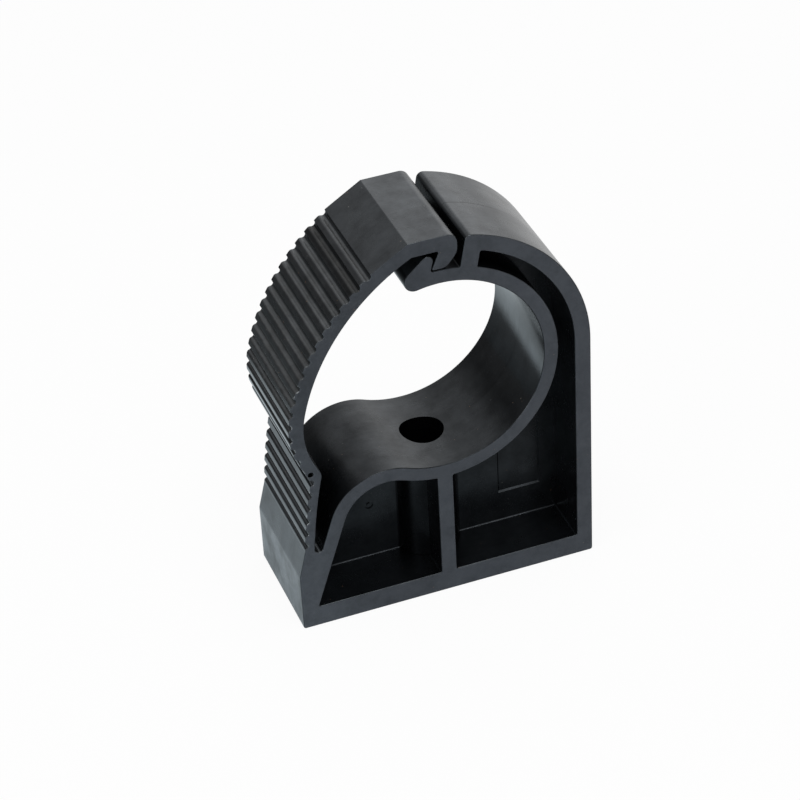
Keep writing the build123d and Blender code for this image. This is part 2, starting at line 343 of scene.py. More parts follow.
# Strap arcs, from the hook down to the knuckle
STRAP_LEAVE = LIP_TOP + point(-STRAP_LEAVE_OFFSET, HOOK_RISE)
UPPER_CENTRE = polar(STRAP_LEAVE, -STRAP_UPPER_RADIUS, STRAP_LEAVE_ANGLE)
LOWER_CENTRE = polar(UPPER_CENTRE, STRAP_UPPER_RADIUS - STRAP_LOWER_RADIUS, STRAP_JOIN_ANGLE)
STRAP_END = polar(LOWER_CENTRE, STRAP_LOWER_RADIUS, STRAP_END_ANGLE)
KNUCKLE = polar(STRAP_END, KNUCKLE_RUN, STRAP_END_ANGLE + 90)
HOOK_NOSE_CORNER = LIP_TOP + point(HOOK_REACH, HOOK_RISE + STRAP_THICKNESS)
FACET_CORNER = HOOK_NOSE_CORNER - point(FLAT_TOP, 0)
UPPER_TIP_RADIUS = STRAP_UPPER_RADIUS + STRAP_THICKNESS
RIBS_ANGLE = angle_round(UPPER_CENTRE, FACET_CORNER) + degrees(FACET_RUN / UPPER_TIP_RADIUS)
LOWER_TIP_CENTRE = polar(UPPER_CENTRE, UPPER_TIP_RADIUS - STRAP_LOWER_TIP_RADIUS, STRAP_JOIN_ANGLE)
STRAP_TIP_END = polar(LOWER_TIP_CENTRE, STRAP_LOWER_TIP_RADIUS, STRAP_END_ANGLE)

# Neck arc, through its foot and the knuckle
NECK_CHORD = KNUCKLE - NECK_FOOT
NECK_BOW = sqrt(NECK_RADIUS**2 - (NECK_CHORD.length / 2) ** 2)
NECK_CENTRE = (NECK_FOOT + KNUCKLE) / 2 + point(NECK_CHORD.y, -NECK_CHORD.x).normalized() * NECK_BOW
NECK_FOOT_ANGLE = angle_round(NECK_CENTRE, NECK_FOOT)
NECK_TOP_ANGLE = angle_round(NECK_CENTRE, KNUCKLE)
NECK_TIP_RADIUS = NECK_RADIUS + NECK_THICKNESS
SEAM_RUN = FIRST_NECK_GROOVE + SEAM_RIB * RIB_PITCH
SEAM_ANGLE = NECK_FOOT_ANGLE - degrees(SEAM_RUN / NECK_RADIUS)


class Outline:
    """Run of points in the side view, with the place in its rib row and the groove depth of each."""

    def __init__(self):
        self.points = []
        self.runs = []
        self.depths = []

    def add(self, points, runs=None, depth=0.0):
        """Adds smooth points, or rib tips with their runs from a first groove."""
        for index, place in enumerate(points):
            if self.points and (self.points[-1] - place).length < CHORD_ERROR:
                continue
            self.points.append(place)
            self.runs.append(runs[index] if runs else 0.0)
            self.depths.append(depth)

    def corner(self, place, following, radius=CORNER_ROUND):
        """Adds a rounded corner between the last point and a following one."""
        before = self.points[-1] - place
        after = following - place
        turn = pi - before.angle(after)
        room = min(CORNER_BEFORE * before.length, CORNER_AFTER * after.length)
        reach = min(radius * tan(turn / 2), room)
        radius = reach / tan(turn / 2)
        towards = (before.normalized() + after.normalized()).normalized()
        centre = place + towards * radius / cos(turn / 2)
        start = angle_round(centre, place + before.normalized() * reach)
        left_turn = before.x * after.y < before.y * after.x
        self.add(arc(centre, radius, start, start + degrees(turn if left_turn else -turn)))


def rib_runs(low, high):
    """Runs along a rib row, from above to below, closest together at the rounded edges of the ribs."""
    offsets = [RIB_PITCH / 2]
    for side, edge in ((-1, RIB_ROUND), (1, RIB_CROWN)):
        reach = groove_reach(edge)
        steepest = asin(reach / (GROOVE_RADIUS + edge))
        for step in range(SCOOP_STEPS + 1):
            offsets.append(side * GROOVE_RADIUS * sin(steepest * step / SCOOP_STEPS))
        for step in range(RIB_EDGE_STEPS):
            offsets.append(side * (reach - edge * sin(steepest * step / RIB_EDGE_STEPS)))
    runs = set()
    for groove in range(int(low / RIB_PITCH) - 1, int(high / RIB_PITCH) + 2):
        for offset in offsets:
            runs.add(round(groove * RIB_PITCH + offset, 4))
    return [low] + sorted(run for run in runs if low < run < high) + [high]


def add_strap_ribs(outline):
    """Adds the rib tips from the sloped facet down to the lower end of the strap."""
    upper_run = radians(STRAP_JOIN_ANGLE - RIBS_ANGLE) * UPPER_TIP_RADIUS
    whole_run = upper_run + radians(STRAP_END_ANGLE - STRAP_JOIN_ANGLE) * STRAP_LOWER_TIP_RADIUS
    last = int((whole_run - FIRST_STRAP_GROOVE) / RIB_PITCH) * RIB_PITCH
    for run in rib_runs(-FIRST_STRAP_GROOVE, whole_run - FIRST_STRAP_GROOVE):
        along = run + FIRST_STRAP_GROOVE
        if along < upper_run:
            place = polar(UPPER_CENTRE, UPPER_TIP_RADIUS, RIBS_ANGLE + degrees(along / UPPER_TIP_RADIUS))
        else:
            angle = STRAP_JOIN_ANGLE + degrees((along - upper_run) / STRAP_LOWER_TIP_RADIUS)
            place = polar(LOWER_TIP_CENTRE, STRAP_LOWER_TIP_RADIUS, angle)
        outline.add([place], [run], GROOVE_DEPTH if run < last + RIB_PITCH / 2 else 0.0)


def add_neck_ribs(outline, top, bottom):
    """Adds the rib tips of the neck from one run above its foot down to another."""
    for run in rib_runs(FIRST_NECK_GROOVE - top, FIRST_NECK_GROOVE - bottom):
        angle = NECK_FOOT_ANGLE - degrees((FIRST_NECK_GROOVE - run) / NECK_RADIUS)
        outline.add([polar(NECK_CENTRE, NECK_TIP_RADIUS, angle)], [run], GROOVE_DEPTH)


def strap_outline():
    """Side view of the strap, from the seam up the inner face, round the hook and down the ribs."""
    heel = LIP_TOP + point(TOOTH_HEEL, TOOTH_GAP)
    cheek_foot = HOOK_NOSE_CORNER - point(0, HOOK_CHEEK)
    locked_foot = on_catch_face(TOOTH_GAP, HOOK_GAP)
    tooth_height = HOOK_RISE - TOOTH_GAP
    locked_top = locked_foot + point(tooth_height * tan(radians(TOOTH_LEAN)), tooth_height)
    ribs_start = polar(UPPER_CENTRE, UPPER_TIP_RADIUS, RIBS_ANGLE)
    outline = Outline()
    outline.add(arc(NECK_CENTRE, NECK_RADIUS, SEAM_ANGLE, NECK_TOP_ANGLE)[:-1])
    outline.corner(KNUCKLE, STRAP_END, KNUCKLE_ROUND)
    outline.add(arc(LOWER_CENTRE, STRAP_LOWER_RADIUS, STRAP_END_ANGLE, STRAP_JOIN_ANGLE))
    outline.add(arc(UPPER_CENTRE, STRAP_UPPER_RADIUS, STRAP_JOIN_ANGLE, STRAP_LEAVE_ANGLE))
    outline.corner(locked_top, locked_foot)
    outline.corner(locked_foot, heel, TOOTH_TIP_ROUND)
    outline.corner(heel, cheek_foot, TOOTH_HEEL_ROUND)
    outline.corner(cheek_foot, HOOK_NOSE_CORNER, HOOK_CHEEK_ROUND)
    outline.corner(HOOK_NOSE_CORNER, FACET_CORNER, HOOK_NOSE_ROUND)
    outline.corner(FACET_CORNER, ribs_start)
    add_strap_ribs(outline)
    add_knuckle(outline)
    add_neck_ribs(outline, FIRST_NECK_GROOVE + (TOP_NECK_GROOVE - 0.5) * RIB_PITCH, SEAM_RUN)
    return outline


def add_knuckle(outline):
    """Adds the straight outer face of the knuckle, with its round relief and the top groove of the neck."""
    face = polar(STRAP_TIP_END, KEYHOLE_RUN, STRAP_END_ANGLE + 90)
    hole = polar(face, KEYHOLE_RADIUS - KEYHOLE_DEPTH, STRAP_END_ANGLE)
    spread = degrees(asin(KEYHOLE_MOUTH / 2 / KEYHOLE_RADIUS))
    relief = arc(hole, KEYHOLE_RADIUS, STRAP_END_ANGLE - spread, STRAP_END_ANGLE + spread - 360)
    aside = polar(point(0, 0), KEYHOLE_MOUTH / 2, STRAP_END_ANGLE + 90)
    angle = NECK_FOOT_ANGLE - degrees((FIRST_NECK_GROOVE + TOP_NECK_GROOVE * RIB_PITCH) / NECK_RADIUS)
    scoop = polar(NECK_CENTRE, NECK_TIP_RADIUS + GROOVE_RADIUS - GROOVE_DEPTH, angle)
    outside = (scoop - STRAP_TIP_END).dot(polar(point(0, 0), 1, STRAP_END_ANGLE))
    start = STRAP_END_ANGLE - 180 + degrees(acos(outside / GROOVE_RADIUS))
    stop = angle - 180 - degrees(acos((GROOVE_RADIUS - GROOVE_DEPTH) / GROOVE_RADIUS))
    top_groove = arc(scoop, GROOVE_RADIUS, start, stop)
    outline.corner(face - aside, relief[0], RIB_ROUND)
    outline.add(relief)
    outline.corner(face + aside, top_groove[0], RIB_ROUND)
    outline.corner(top_groove[0], top_groove[2], RIB_ROUND)
    outline.add(top_groove[2:-2])
    neck_rib = polar(NECK_CENTRE, NECK_TIP_RADIUS, angle + degrees(RIB_PITCH / 2 / NECK_RADIUS))
    outline.corner(top_groove[-1], neck_rib, RIB_ROUND)


def add_catch(outline):
    """Adds the catch: undercut face, round nose, sloped back and the round tip of the lip."""
    axis = LIP_TIP - CATCH_NOSE
    taper = acos((CATCH_NOSE_RADIUS - LIP_TIP_RADIUS) / axis.length)
    slope = degrees(atan2(axis.y, axis.x)) - degrees(taper)
    outline.corner(on_catch_face(0), CATCH_FACE_TOP)
    outline.add(arc(CATCH_NOSE, CATCH_NOSE_RADIUS, -UNDERCUT, slope % 360))
    outline.add(arc(LIP_TIP, LIP_TIP_RADIUS, slope % 360, LIP_ANGLE + 180))


def body_outline():
    """Side view of the body, from the seam down the shoulder, round the frame and the bore to the seam."""
    neck_foot_outer = NECK_FOOT - point(NECK_THICKNESS, 0)
    post_lean = degrees(asin(POST_CORNER / (OUTER_RADIUS - POST_CORNER)))
    post_corner = polar(BORE_CENTRE, OUTER_RADIUS - POST_CORNER, POST_ANGLE - post_lean)
    outline = Outline()
    add_neck_ribs(outline, SEAM_RUN, FIRST_NECK_GROOVE - groove_reach(RIB_CROWN))
    outline.corner(neck_foot_outer, point(BASE_LEFT, SHOULDER_HEIGHT))
    outline.corner(point(BASE_LEFT, SHOULDER_HEIGHT), point(BASE_LEFT, 0), SHOULDER_ROUND)
    outline.corner(point(BASE_LEFT, 0), point(0, 0), BASE_CORNER)
    outline.corner(point(BODY_HIGH.x, 0), point(BODY_HIGH.x, BORE_HEIGHT), BASE_CORNER)
    outline.add(arc(BORE_CENTRE, OUTER_RADIUS, 0, POST_ANGLE - post_lean))
    outline.add(arc(post_corner, POST_CORNER, POST_ANGLE - post_lean, POST_ANGLE + 90))
    lip = arc(BORE_CENTRE, RING_RADIUS, POST_ANGLE, angle_round(BORE_CENTRE, on_catch_face(0)))
    outline.corner(lip[0], lip[1])
    outline.add(lip[1:-1])
    add_catch(outline)
    outline.add(arc(BORE_CENTRE, BORE_RADIUS, LIP_ANGLE, HUMP_ANGLE))
    outline.add(arc(HUMP_CENTRE, HUMP_RADIUS, HUMP_ANGLE + 180, FLANK_NORMAL))
    slot_centre = FLANK_ROOT - point(FOLD_SLOT_WIDTH / 2, 0)
    outline.add(arc(slot_centre, FOLD_SLOT_WIDTH / 2, 0, -180))
    outline.add(arc(NECK_CENTRE, NECK_RADIUS, NECK_FOOT_ANGLE, SEAM_ANGLE))
    return outline


def right_pocket():
    """Outline of the right-hand pocket, running up into the curved slot, with its void on the right."""
    side = MID_RIB_THICKNESS / 2
    slot_end = POST_ANGLE - degrees(asin(POST_THICKNESS / SLOT_RADIUS))
    ring_end = POST_ANGLE - degrees(asin(POST_THICKNESS / RING_RADIUS))
    ring_start = -degrees(acos((side - PIPE_X) / RING_RADIUS))
    ring = arc(BORE_CENTRE, RING_RADIUS, ring_start, ring_end)
    slot = arc(BORE_CENTRE, SLOT_RADIUS, slot_end, 0)
    outline = Outline()
    outline.add([point(side, (BASE_THICKNESS + ring[0].y) / 2)])
    outline.corner(ring[0], ring[1], POCKET_ROUND)
    outline.add(ring[1:-1])
    outline.corner(ring[-1], slot[0], POCKET_ROUND)
    outline.corner(slot[0], slot[1], POCKET_ROUND)
    outline.add(slot[1:])
    near_foot = point(side, BASE_THICKNESS)
    outline.corner(point(PIPE_X + SLOT_RADIUS, BASE_THICKNESS), near_foot, POCKET_ROUND)
    outline.corner(near_foot, outline.points[0], POCKET_ROUND)
    return outline


def left_pocket():
    """Outline of the left-hand pocket, under the hump, with its void on the right."""
    side = MID_RIB_THICKNESS / 2
    inner_top = polar(HUMP_CENTRE, HUMP_RADIUS - RING_WALL, FLANK_NORMAL)
    inner_foot = down_flank(inner_top, BASE_THICKNESS)
    ring_start = -180 + degrees(acos((side + PIPE_X) / RING_RADIUS))
    ring = arc(BORE_CENTRE, RING_RADIUS, HUMP_ANGLE, ring_start)
    outline = Outline()
    outline.add([(inner_foot + inner_top) / 2])
    outline.add(arc(HUMP_CENTRE, HUMP_RADIUS - RING_WALL, FLANK_NORMAL, HUMP_ANGLE + 180))
    outline.add(ring[:-1])
    outline.corner(ring[-1], point(-side, BASE_THICKNESS), POCKET_ROUND)
    outline.corner(point(-side, BASE_THICKNESS), inner_foot, POCKET_ROUND)
    outline.corner(inner_foot, outline.points[0], POCKET_ROUND)
    return outline


def placed(name, mesh):
    """Object that shows a mesh, at the origin."""
    made = bpy.data.objects.new(name, mesh)
    bpy.context.scene.collection.objects.link(made)
    return made


def edge_mesh(name, points, closed):
    """Mesh object with one row of points joined by edges."""
    count = len(points)
    edges = [(index, index + 1) for index in range(count - 1)]
    if closed:
        edges.append((count - 1, 0))
    mesh = bpy.data.meshes.new(name)
    mesh.from_pydata(points, edges, [])
    return placed(name, mesh)


def outline_object(name, outline, closed):
    """Outline as an edge mesh that lies flat in X and Y, with its rib row as attributes."""
    made = edge_mesh(name, [(p.x * MM, p.y * MM, 0) for p in outline.points], closed)
    for label, values in (("groove_run", outline.runs), ("groove_depth", outline.depths)):
        attribute = made.data.attributes.new(label, "FLOAT", "POINT")
        attribute.data.foreach_set("value", [value * MM for value in values])
    return made


def rounded_end(place, direction, radius):
    """Rows of a wall's end that rounds over an edge, or with a negative radius fills an inside corner."""
    rows = []
    for step in range(EDGE_STEPS + 1):
        turn = radians(90 * step / EDGE_STEPS)
        rows.append((-radius * (1 - sin(turn)), place + direction * abs(radius) * (1 - cos(turn))))
    return rows


def wall_section(front, back, front_round, back_round):
    """Rows of a wall from front to back, each an outward offset and a place along Y."""
    return rounded_end(front, 1, front_round) + rounded_end(back, -1, back_round)[::-1]


def add_node(tree, kind, inputs=None, **settings):
    """Adds a node, sets its settings, and fills its inputs with values or links."""
    made = tree.nodes.new(kind)
    for name, value in settings.items():
        setattr(made, name, value)
    for key, value in (inputs or {}).items():
        if isinstance(value, bpy.types.NodeSocket):
            tree.links.new(value, made.inputs[key])
        else:
            made.inputs[key].default_value = value
    return made


def maths(tree, operation, *values):
    """Adds one step of arithmetic and returns its result."""
    return add_node(tree, "ShaderNodeMath", dict(enumerate(values)), operation=operation).outputs[0]


def vectors(tree, operation, *values, result="Vector"):
    """Adds one step of arithmetic with vectors and returns its result."""
    step = add_node(tree, "ShaderNodeVectorMath", dict(enumerate(values)), operation=operation)
    return step.outputs[result]


def mixed(tree, share, first, second):
    """Value between two values."""
    return add_node(tree, "ShaderNodeMix", {0: share, 2: first, 3: second}).outputs[0]


def circle_height(tree, radius, across):
    """Height of a circle of a radius at a distance across from its middle."""
    whole = maths(tree, "MULTIPLY", radius, radius)
    square = maths(tree, "SUBTRACT", whole, maths(tree, "MULTIPLY", across, across))
    return maths(tree, "SQRT", maths(tree, "MAXIMUM", square, 0.0))


def groove_depth(tree, inputs):
    """Depth below the rib tips, from the place in the rib row: round scoop, then rounded rib edge."""
    run = add_node(tree, "GeometryNodeInputNamedAttribute", {"Name": "groove_run"}).outputs["Attribute"]
    full = add_node(tree, "GeometryNodeInputNamedAttribute", {"Name": "groove_depth"}).outputs["Attribute"]
    pitch = inputs["Rib Pitch"]
    nearest = maths(tree, "MULTIPLY", maths(tree, "ROUND", maths(tree, "DIVIDE", run, pitch)), pitch)
    below = maths(tree, "SUBTRACT", run, nearest)
    away = maths(tree, "ABSOLUTE", below)
    radius = inputs["Groove Radius"]
    faces_up = maths(tree, "GREATER_THAN", below, 0.0)
    edge = mixed(tree, faces_up, inputs["Rib Round"], inputs["Rib Crown"])
    wide = maths(tree, "ADD", radius, edge)
    rib_edge = circle_height(tree, wide, maths(tree, "SUBTRACT", wide, full))
    scoop_edge = maths(tree, "DIVIDE", maths(tree, "MULTIPLY", rib_edge, radius), wide)
    above_tips = maths(tree, "SUBTRACT", radius, full)
    scoop = maths(tree, "SUBTRACT", circle_height(tree, radius, away), above_tips)
    left_over = maths(tree, "MAXIMUM", maths(tree, "SUBTRACT", rib_edge, away), 0.0)
    short = maths(tree, "MINIMUM", left_over, edge)
    shoulder = maths(tree, "SUBTRACT", edge, circle_height(tree, edge, short))
    in_scoop = maths(tree, "LESS_THAN", away, scoop_edge)
    in_row = maths(tree, "GREATER_THAN", full, 0.0)
    return maths(tree, "MULTIPLY", mixed(tree, in_scoop, shoulder, scoop), in_row)


def moulded_wall_tree():
    """Tree that cuts a rib row into an outline and sweeps a wall section along it."""
    tree = bpy.data.node_groups.new("moulded_wall", "GeometryNodeTree")
    tree.interface.new_socket("Geometry", in_out="INPUT", socket_type="NodeSocketGeometry")
    tree.interface.new_socket("Section", in_out="INPUT", socket_type="NodeSocketObject")
    for name in ("Rib Pitch", "Groove Radius", "Rib Round", "Rib Crown"):
        tree.interface.new_socket(name, in_out="INPUT", socket_type="NodeSocketFloat")
    tree.interface.new_socket("Material", in_out="INPUT", socket_type="NodeSocketMaterial")
    tree.interface.new_socket("Geometry", in_out="OUTPUT", socket_type="NodeSocketGeometry")
    inputs = tree.nodes.new("NodeGroupInput").outputs
    path = add_node(tree, "GeometryNodeMeshToCurve", {"Mesh": inputs["Geometry"]}).outputs["Curve"]
    tangent = tree.nodes.new("GeometryNodeInputTangent").outputs["Tangent"]
    outward = vectors(tree, "CROSS_PRODUCT", tangent, (0, 0, 1))
    inward = maths(tree, "MULTIPLY", groove_depth(tree, inputs), -1.0)
    shift = add_node(tree, "ShaderNodeVectorMath", {0: outward, "Scale": inward}, operation="SCALE")
    moved = {"Geometry": path, "Offset": shift.outputs["Vector"]}
    path = add_node(tree, "GeometryNodeSetPosition", moved).outputs["Geometry"]
    path = add_node(tree, "GeometryNodeSetCurveNormal", {"Curve": path}, mode="Z_UP").outputs["Curve"]
    section = add_node(tree, "GeometryNodeObjectInfo", {"Object": inputs["Section"]}).outputs["Geometry"]
    section = add_node(tree, "GeometryNodeMeshToCurve", {"Mesh": section}).outputs["Curve"]
    sweep = {"Curve": path, "Profile Curve": section}
    wall = add_node(tree, "GeometryNodeCurveToMesh", sweep).outputs["Mesh"]
    stand = {"Geometry": wall, "Rotation": (pi / 2, 0, 0)}
    upright = add_node(tree, "GeometryNodeTransform", stand).outputs["Geometry"]
    real = add_node(tree, "GeometryNodeRealizeInstances", {"Geometry": upright}).outputs["Geometry"]
    done = add_node(tree, "GeometryNodeSetMaterial", {"Geometry": real, "Material": inputs["Material"]})
    add_node(tree, "NodeGroupOutput", {"Geometry": done.outputs["Geometry"]})
    return tree


def swept_wall(tree, name, outline, rows, closed, material):
    """Plain mesh of a wall: the rows of a section swept along an outline."""
    path = outline_object(name, outline, closed)
    section = edge_mesh(name + "_section", [(offset * MM, along * MM, 0) for offset, along in rows], False)
    modifier = path.modifiers.new("moulded_wall", "NODES")
    modifier.node_group = tree
    sizes = {
        "Section": section,
        "Rib Pitch": RIB_PITCH * MM,
        "Groove Radius": GROOVE_RADIUS * MM,
        "Rib Round": RIB_ROUND * MM,
        "Rib Crown": RIB_CROWN * MM,
        "Material": material,
    }
    for socket in tree.interface.items_tree:
        if socket.in_out == "INPUT" and socket.name in sizes:
            modifier[socket.identifier] = sizes[socket.name]
    evaluated = path.evaluated_get(bpy.context.evaluated_depsgraph_get())
    mesh = bpy.data.meshes.new_from_object(evaluated)
    bpy.data.objects.remove(path)
    bpy.data.objects.remove(section)
    return mesh


def shape_of(mesh):
    """Working copy of a mesh, which is then thrown away."""
    shape = bmesh.new()
    shape.from_mesh(mesh)
    bpy.data.meshes.remove(mesh)
    return shape


def close_seam(shape, rows):
    """Closes an open wall between its first and its last column."""
    shape.verts.ensure_lookup_table()
    first = shape.verts[:rows]
    last = shape.verts[-rows:]
    shape.faces.new(first + last[::-1])


def cap(shape, along):
    """Fills the open edges at a place along Y, with any openings inside them left open."""
    level = along * MM
    edges = []
    for edge in shape.edges:
        if edge.is_boundary and all(abs(vert.co.y - level) < CHORD_ERROR * MM for vert in edge.verts):
            edges.append(edge)
    bmesh.ops.triangle_fill(shape, use_beauty=True, edges=edges, normal=(0, -1, 0))


def plain_mesh(name, shape, material):
    """Mesh of a working copy, with one material."""
    mesh = bpy.data.meshes.new(name)
    shape.to_mesh(mesh)
    shape.free()
    mesh.materials.clear()
    mesh.materials.append(material)
    return mesh


def finished_mesh(name, shape, material):
    """Mesh with its faces outward, one material and a check that it is closed."""
    bmesh.ops.recalc_face_normals(shape, faces=shape.faces)
    gaps = sum(1 for edge in shape.edges if not edge.is_manifold)
    if gaps:
        print(name, "has open edges:", gaps)
    return plain_mesh(name, shape, material)


def strap_mesh(tree, material):
    """Ribbed strap with its hook and the upper part of the neck."""
    rows = wall_section(-HALF_WIDTH, HALF_WIDTH, STRAP_EDGE, STRAP_EDGE)
    shape = shape_of(swept_wall(tree, "strap_wall", strap_outline(), rows, False, material))
    close_seam(shape, len(rows))
    cap(shape, -HALF_WIDTH)
    cap(shape, HALF_WIDTH)
    return finished_mesh("strap", shape, material)


def keep_floor_fillet(mesh, outline, section):
    """Straightens the walls of a pocket down to the web, so that only its floor keeps the fillet."""
    rows = len(section)
    for column, place in enumerate(outline.points):
        if place.y > BASE_THICKNESS + CHORD_ERROR:
            wall = mesh.vertices[column * rows + rows // 2].co
            for row, (offset, along) in enumerate(section):
                if offset > 0:
                    mesh.vertices[column * rows + row].co = (wall.x, along * MM, wall.z)


def body_mesh(tree, material):
    """Body with its saddle, outer frame, lip and catch, and a pocket on each side of the web."""
    rows = wall_section(-HALF_WIDTH, HALF_WIDTH, BODY_EDGE, BODY_EDGE)
    shape = shape_of(swept_wall(tree, "body_wall", body_outline(), rows, False, material))
    close_seam(shape, len(rows))
    web = WEB_THICKNESS / 2
    front = wall_section(-HALF_WIDTH, -web, BODY_EDGE, -WEB_FILLET)
    back = wall_section(web, HALF_WIDTH, -WEB_FILLET, BODY_EDGE)
    for section in (front, back):
        for outline in (left_pocket(), right_pocket()):
            pocket = swept_wall(tree, "pocket_wall", outline, section, True, material)
            keep_floor_fillet(pocket, outline, section)
            shape.from_mesh(pocket)
            bpy.data.meshes.remove(pocket)
    for along in (-HALF_WIDTH, -web, web, HALF_WIDTH):
        cap(shape, along)
    return finished_mesh("body", shape, material)


def cone(shape, foot, top, foot_radius, top_radius, sides=96):
    """Adds an upright cone or cylinder on the screw's axis."""
    middle = Matrix.Translation((0, 0, (foot + top) / 2 * MM))
    bmesh.ops.create_cone(
        shape,
        cap_ends=True,
        segments=sides,
        radius1=foot_radius * MM,
        radius2=top_radius * MM,
        depth=(top - foot) * MM,
        matrix=middle,
    )


def boss_mesh(material):
    """Tapered boss round the screw, from inside the base to inside the saddle."""
    shape = bmesh.new()
    saddle = BORE_HEIGHT - BORE_RADIUS - RING_WALL / 2
    cone(shape, BASE_THICKNESS / 2, saddle, BOSS_FOOT_RADIUS, BOSS_TOP_RADIUS)
    return finished_mesh("boss", shape, material)


def screw_way_mesh(material):
    """Head well from the saddle down to the base, and the shank hole through the base."""
    shape = bmesh.new()
    cone(shape, BASE_THICKNESS, BORE_HEIGHT, HEAD_WELL_RADIUS, HEAD_WELL_RADIUS)
    cone(shape, -CUT_SPARE, BASE_THICKNESS + CUT_SPARE, SHANK_RADIUS, SHANK_RADIUS)
    return finished_mesh("screw_way", shape, material)


def slab(shape, low, high, face, depth, slope):
    """Adds a shallow block across a web's front face, with sloped sides."""
    corners = []
    for along, inset in ((face - depth, -slope), (face + depth, slope)):
        corners.append((low[0] + inset, along, low[1] + inset))
        corners.append((high[0] - inset, along, low[1] + inset))
        corners.append((high[0] - inset, along, high[1] - inset))
        corners.append((low[0] + inset, along, high[1] - inset))
    verts = [shape.verts.new(Vector(corner) * MM) for corner in corners]
    shape.faces.new(verts[:4])
    shape.faces.new(verts[:3:-1])
    for side in range(4):
        following = (side + 1) % 4
        shape.faces.new((verts[following], verts[side], verts[side + 4], verts[following + 4]))


def shallow_ring(shape, middle, inner, outer, face, depth, sides=48):
    """Adds a shallow ring round a place on a web's front face."""
    section = ((inner, face - depth), (outer, face - depth), (outer, face + depth), (inner, face + depth))
    columns = []
    for side in range(sides):
        column = []
        for radius, along in section:
            place = polar(point(*middle), radius, 360 * side / sides)
            column.append(shape.verts.new(Vector((place.x, along, place.y)) * MM))
        columns.append(column)
    for side in range(sides):
        first = columns[side]
        second = columns[(side + 1) % sides]
        for row in range(4):
            following = (row + 1) % 4
            shape.faces.new((first[row], first[following], second[following], second[row]))


def web_marks_mesh(material):
    """Shallow bare panel in the right-hand web and the ring left by an ejector pin in the left-hand one."""
    shape = bmesh.new()
    face = -WEB_THICKNESS / 2
    slab(shape, PANEL_LOW, PANEL_HIGH, face, PANEL_DEPTH, PANEL_DEPTH)
    shallow_ring(shape, PIN_MARK, PIN_MARK_INNER, PIN_MARK_OUTER, face, PIN_MARK_DEPTH)
    return finished_mesh("web_marks", shape, material)


def combined(name, first, second, operation):
    """Plain mesh of two meshes joined or cut."""
    target = placed(name, first)
    tool = placed(name + "_tool", second)
    modifier = target.modifiers.new(operation.lower(), "BOOLEAN")
    modifier.operation = operation
    modifier.solver = "EXACT"
    modifier.use_self = operation == "DIFFERENCE"
    modifier.object = tool
    evaluated = target.evaluated_get(bpy.context.evaluated_depsgraph_get())
    mesh = bpy.data.meshes.new_from_object(evaluated)
    for used in (target, tool):
        used_mesh = used.data
        bpy.data.objects.remove(used)
        bpy.data.meshes.remove(used_mesh)
    return mesh


def show(name, mesh):
    """Finished piece with smooth shading that keeps its flat faces flat."""
    piece = placed(name, mesh)
    mesh.shade_smooth()
    mesh.set_sharp_from_angle(angle=radians(SMOOTH_ANGLE))
    normals = piece.modifiers.new("flat_faces", "WEIGHTED_NORMAL")
    normals.keep_sharp = True
    return piece


def ranged(tree, value, low, high, to_low, to_high):
    """Value moved from one range to another and kept inside it."""
    values = {"Value": value, "From Min": low, "From Max": high, "To Min": to_low, "To Max": to_high}
    return add_node(tree, "ShaderNodeMapRange", values).outputs[0]


def rising(tree, value, span):
    """Share that goes from 0 to 1 while a value crosses a span."""
    low, high = span
    return ranged(tree, value, low, high, 0.0, 1.0)


def falling(tree, value, span):
    """Share that goes from 1 to 0 while a value crosses a span."""
    low, high = span
    return ranged(tree, value, low, high, 1.0, 0.0)


def overlap(tree, *shares):
    """Share that is high only where all of some shares are high."""
    result = shares[0]
    for share in shares[1:]:
        result = maths(tree, "MULTIPLY", result, share)
    return result


def mixed_colour(tree, share, first, second):
    """Colour between two colours."""
    values = {0: share, 6: first, 7: second}
    return add_node(tree, "ShaderNodeMix", values, data_type="RGBA").outputs[2]


def vector_part(tree, vector, part):
    """One part of a vector."""
    return add_node(tree, "ShaderNodeSeparateXYZ", {0: vector}).outputs[part]


def metres(span):
    """Span of millimetres, in metres."""
    return [value * MM for value in span]


class Face:
    """Any face that a material covers: where it is and which way it is turned, in the material's tree."""

    def __init__(self, tree):
        coordinates = tree.nodes.new("ShaderNodeTexCoord").outputs
        self.tree = tree
        self.place = coordinates["Object"]
        self.normal = coordinates["Normal"]

    def at(self, axis):
        """Place along an axis, in metres."""
        return vector_part(self.tree, self.place, axis)

    def towards(self, axis):
        """How far the face is turned towards an axis, from -1 to 1."""
        return vector_part(self.tree, self.normal, axis)

    def past(self, axis, span):
        """Share that rises where the face crosses a span of millimetres along an axis."""
        return rising(self.tree, self.at(axis), metres(span))

    def short_of(self, axis, span):
        """Share that falls where the face crosses a span of millimetres along an axis."""
        return falling(self.tree, self.at(axis), metres(span))

    def turned_to(self, axis, span):
        """Share that rises while the face turns towards an axis."""
        return rising(self.tree, self.towards(axis), span)

    def turned_from(self, axis, span):
        """Share that falls while the face turns towards an axis."""
        return falling(self.tree, self.towards(axis), span)

    def noise(self, scale, detail=2.0, roughness=0.5, stretch=None):
        """Noise over the face, from 0 to 1."""
        place = vectors(self.tree, "MULTIPLY", self.place, stretch) if stretch else self.place
        values = {"Vector": place, "Scale": scale, "Detail": detail, "Roughness": roughness}
        return add_node(self.tree, "ShaderNodeTexNoise", values).outputs[0]


